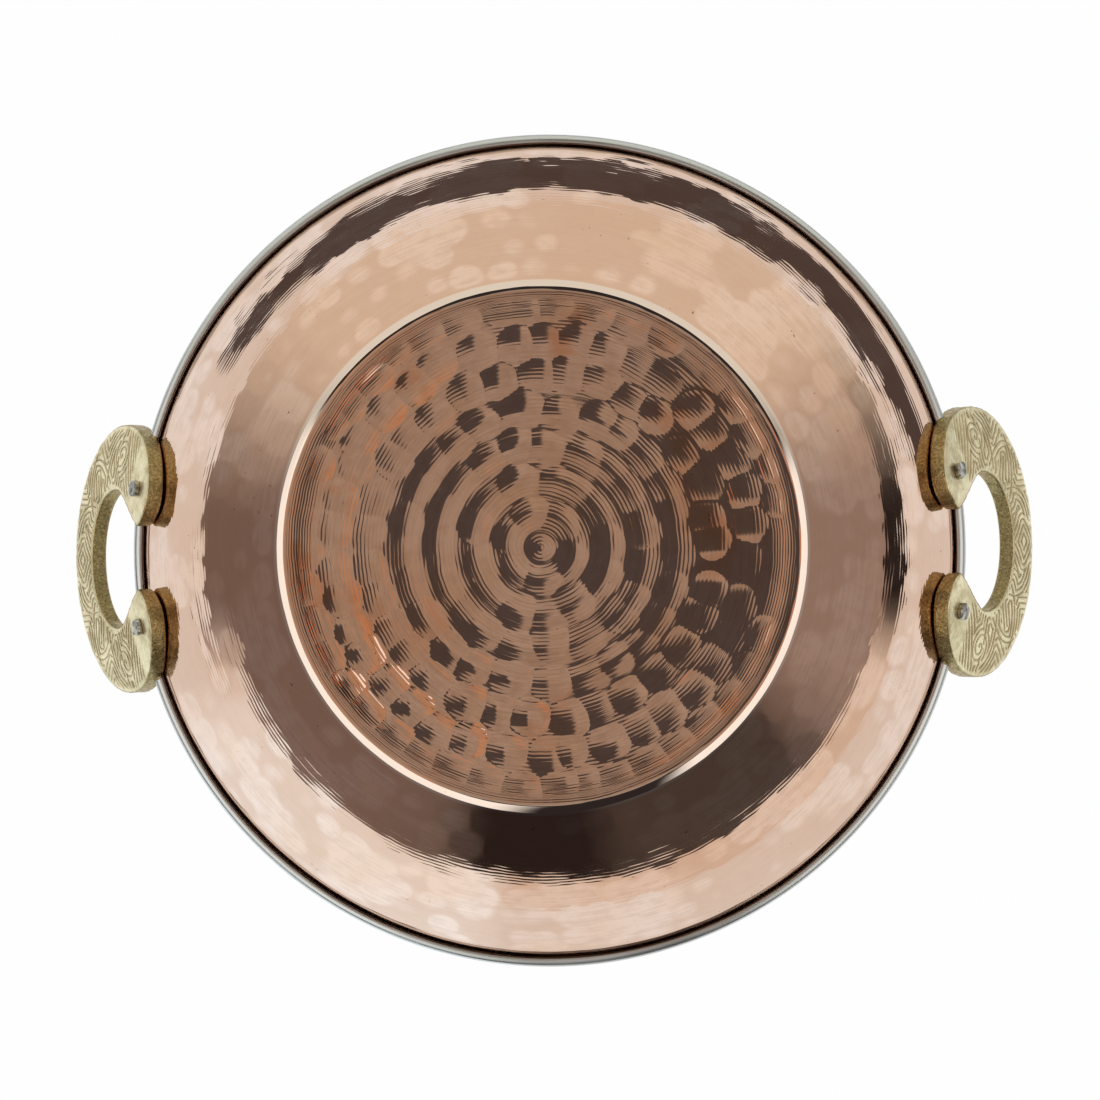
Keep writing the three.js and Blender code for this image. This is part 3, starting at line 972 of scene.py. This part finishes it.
def rivet_material():
    material, nodes, place, shader = new_material("rivet_steel")
    cloud = nodes.noise(place, 500.0, 4.0, 0.6)
    colour = nodes.mix(nodes.ease(cloud, 0.35, 0.65), RIVET_DIM, RIVET_LIGHT)
    nodes.feed(shader.inputs["Base Color"], colour)
    nodes.feed(shader.inputs["Roughness"], nodes.ease(cloud, 0.3, 0.7, 0.42, 0.24))
    height = nodes.math("MULTIPLY", nodes.noise(place, 1200.0, 3.0), 30e-6)
    bump = nodes.add("Bump", {"Strength": 1.0, "Distance": 1.0, "Height": height})
    nodes.feed(shader.inputs["Normal"], bump.outputs[0])
    return material


# ---------------------------------------------------------------- studio

RIGHT, DOWN, LEFT, TOP = 0.0, 90.0, 180.0, 270.0  # as the camera sees them: +X, +Y, -X, -Y


def studio_world():
    """Soft panels and dark flags all round, given by their angle from straight down."""
    world = bpy.data.worlds.new("studio")
    bpy.context.scene.world = world
    world.use_nodes = True
    nodes = Nodes(world.node_tree)
    direction = nodes.add("TexCoord").outputs["Generated"]
    axes = nodes.add("SeparateXYZ", {"Vector": direction}).outputs
    tilt = nodes.math("DEGREES", nodes.math("ARCCOSINE", nodes.math("MULTIPLY", axes[2], -1.0)))
    level = nodes.math("SQRT", nodes.math("SUBTRACT", 1.0, nodes.math("MULTIPLY", axes[2], axes[2])))
    level = nodes.math("MAXIMUM", level, 1e-4)

    def panel(colour, facing, half, low, high, light, soft=1.0, side_soft=6.0):
        """Adds a panel facing one way, half as wide as given, between two tilts."""
        mask = nodes.math("MULTIPLY", nodes.ease(tilt, low - soft, low + soft),
                          nodes.ease(tilt, high + soft, high - soft))
        if half < 180:
            turn = math.radians(facing)
            near = nodes.math("ADD", nodes.math("MULTIPLY", axes[0], math.cos(turn)),
                              nodes.math("MULTIPLY", axes[1], math.sin(turn)))
            near = nodes.math("DIVIDE", near, level)
            rim = math.cos(math.radians(min(180, half + side_soft)))
            full = math.cos(math.radians(max(0, half - side_soft)))
            mask = nodes.math("MULTIPLY", mask, nodes.ease(near, rim, full))
        return nodes.mix(mask, colour, rgb(*light))

    def window(colour, low, high, light, soft=0.5):
        """Adds a patch nearly straight down, between two corners (degrees towards RIGHT, DOWN)."""
        mask = 1.0
        for axis, start, end in zip(axes, low, high):
            lean = nodes.math("DEGREES", nodes.math("ARCSINE", axis))
            mask = nodes.math("MULTIPLY", mask, nodes.ease(lean, start - soft, start + soft))
            mask = nodes.math("MULTIPLY", mask, nodes.ease(lean, end + soft, end - soft))
        return nodes.mix(mask, colour, rgb(*light))

    def patch(colour, facing, middle, half_tilt, half, light, soft=0.05):
        """Adds a long patch that narrows towards both ends."""
        turn = math.radians(facing)
        near = nodes.math("ADD", nodes.math("MULTIPLY", axes[0], math.cos(turn)),
                          nodes.math("MULTIPLY", axes[1], math.sin(turn)))
        away = nodes.math("ARCCOSINE", nodes.math("DIVIDE", near, level))
        along = nodes.math("DIVIDE", nodes.math("DEGREES", away), half)
        across = nodes.math("DIVIDE", nodes.math("SUBTRACT", tilt, middle), half_tilt)
        across = nodes.math("MULTIPLY", across, across)
        reach = nodes.math("ADD", nodes.math("POWER", along, 3.0), across)
        return nodes.mix(nodes.ease(reach, 1 + soft, 1 - soft), colour, rgb(*light))

    room, dim_room, shade = (0.40, 0.33, 0.265), (0.26, 0.20, 0.155), (0.075, 0.065, 0.062)
    softbox = (1.1, 1.1, 1.05)
    colour = panel(rgb(0.028, 0.023, 0.023), 0, 180, 0, 15, room, soft=1.0)
    dapple = nodes.ease(nodes.noise(direction, 9.0, 4.0), 0.35, 0.65, 0.0, 0.5)
    colour = nodes.mix(dapple, colour, nodes.mix(nodes.ease(tilt, 14, 16), rgb(*dim_room), colour))
    colour = window(colour, (-2.5, -5.2), (12, 4.2), shade)
    colour = panel(colour, RIGHT + 10, 45, 12, 19, (0.55, 0.26, 0.15), soft=1.5)
    colour = panel(colour, LEFT, 60, 13, 19, (0.5, 0.3, 0.18), soft=1)
    colour = panel(colour, 155, 55, 20, 68, softbox, soft=0.7)
    colour = panel(colour, 20, 42, 20, 68, softbox, soft=0.7)
    colour = panel(colour, 55, 25, 68, 97, (0.075, 0.068, 0.065), soft=1, side_soft=6)
    colour = panel(colour, 135, 24, 68, 97, (0.17, 0.155, 0.15), soft=1, side_soft=6)
    colour = panel(colour, LEFT, 62, 68, 105, (0.21, 0.18, 0.17), soft=1, side_soft=15)
    colour = panel(colour, RIGHT - 5, 38, 68, 97, (0.34, 0.30, 0.28), soft=1, side_soft=12)
    colour = panel(colour, TOP, 62, 36, 112, (0.80, 0.80, 0.72), soft=0.5, side_soft=22)
    colour = panel(colour, DOWN, 180, 103, 180, (0.84, 0.92, 0.94), soft=0.3)
    colour = panel(colour, DOWN, 75, 95, 104, (0.78, 0.76, 0.70), soft=0.3, side_soft=8)
    colour = panel(colour, 130, 28, 95, 150, (0.96, 1.13, 1.22), soft=0.4, side_soft=6)
    colour = patch(colour, TOP + 12, 113.8, 6.2, 72, (0.09, 0.08, 0.08))
    colour = panel(colour, 0, 180, 130, 185, (1.0, 1.0, 1.0), soft=8)

    seen = nodes.add("LightPath").outputs["Is Camera Ray"]
    colour = nodes.mix(seen, colour, rgb(0.992, 0.992, 0.992))
    background = nodes.add("Background", {"Color": colour, "Strength": 1.0})
    nodes.add("OutputWorld", {"Surface": background.outputs[0]})


FLOOR_HALF = 3.0
FLOOR_GAP = 0.05 * MM


def floor():
    """A pale floor under the bowl. It shows to the camera from above only, because the camera
    stands under it, and it neither lights nor shades the bowl."""
    corners = np.array([[-1, -1, 0], [1, -1, 0], [1, 1, 0], [-1, 1, 0]]) * FLOOR_HALF
    corners[:, 2] = cad_box[0].z - FLOOR_GAP
    data = mesh_of("floor", corners, [(0, 1, 2, 3)])
    material = bpy.data.materials.new("floor")
    material.use_nodes = True
    nodes = Nodes(material.node_tree)
    from_below = nodes.add("NewGeometry").outputs["Backfacing"]
    pale = nodes.add("BsdfDiffuse", {"Color": rgb(0.86, 0.855, 0.85)})
    clear = nodes.add("BsdfTransparent")
    mix = nodes.add("MixShader", {0: from_below, 1: pale.outputs[0], 2: clear.outputs[0]})
    nodes.add("OutputMaterial", {"Surface": mix.outputs[0]})
    piece = shown("floor", data, material)
    piece.visible_diffuse = False
    piece.visible_glossy = False
    piece.visible_transmission = False
    piece.visible_shadow = False


# ---------------------------------------------------------------- camera

CAMERA_DISTANCE = 0.830
CAMERA_ASIDE = Vector((0.0296, 0.0127, 0))
CAMERA_AIM = Vector((0.0007, 0.0001, 0))
CAMERA_ROLL = math.radians(1.13)
LENS = 90.5
SENSOR = 36.0


def camera():
    """Under the bowl, looking up. +X is to the right in the picture and -Y up."""
    data = bpy.data.cameras.new("camera")
    data.lens = LENS
    data.sensor_width = SENSOR
    data.clip_start = 0.01
    aim = Vector((0, 0, bead_centre_z)) + CAMERA_AIM
    place = Vector((0, 0, bead_centre_z - CAMERA_DISTANCE)) + CAMERA_ASIDE
    forward = (aim - place).normalized()
    up_hint = Vector((math.sin(CAMERA_ROLL), -math.cos(CAMERA_ROLL), 0))
    right = forward.cross(up_hint).normalized()
    up = right.cross(forward)
    item = bpy.data.objects.new("camera", data)
    item.matrix_world = Matrix.Translation(place) @ Matrix((right, up, -forward)).transposed().to_4x4()
    bpy.context.scene.collection.objects.link(item)
    bpy.context.scene.camera = item


# ---------------------------------------------------------------- assembly


def add_piece(node, data, material):
    piece = shown("looks_" + node, data, material)
    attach(piece, "root")
    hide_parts(node)
    return piece


def build():
    bpy.context.scene.view_settings.view_transform = "Standard"
    camera()
    studio_world()
    floor()
    add_piece("outer_shell", shell_mesh(), copper_material())
    add_piece("inner_liner", liner_mesh(), steel_material())
    brass, steel = brass_material(), rivet_material()
    half_turn = Matrix.Rotation(math.pi, 4, "Z")
    for name, turned in (("right", False), ("left", True)):
        sets = [(f"handle_{name}", handle_mesh(), brass, "cast_brass")]
        for side in (1, -1):
            where = "back" if (side > 0) != turned else "front"
            data = rivet_mesh(side, SEED + 10 + 2 * side + turned)
            sets.append((f"rivet_{name}_{where}", data, steel, "rivet_steel"))
        for node, data, material, slot in sets:
            if turned:
                data.transform(half_turn)
            add_piece(node, data, material)


build()
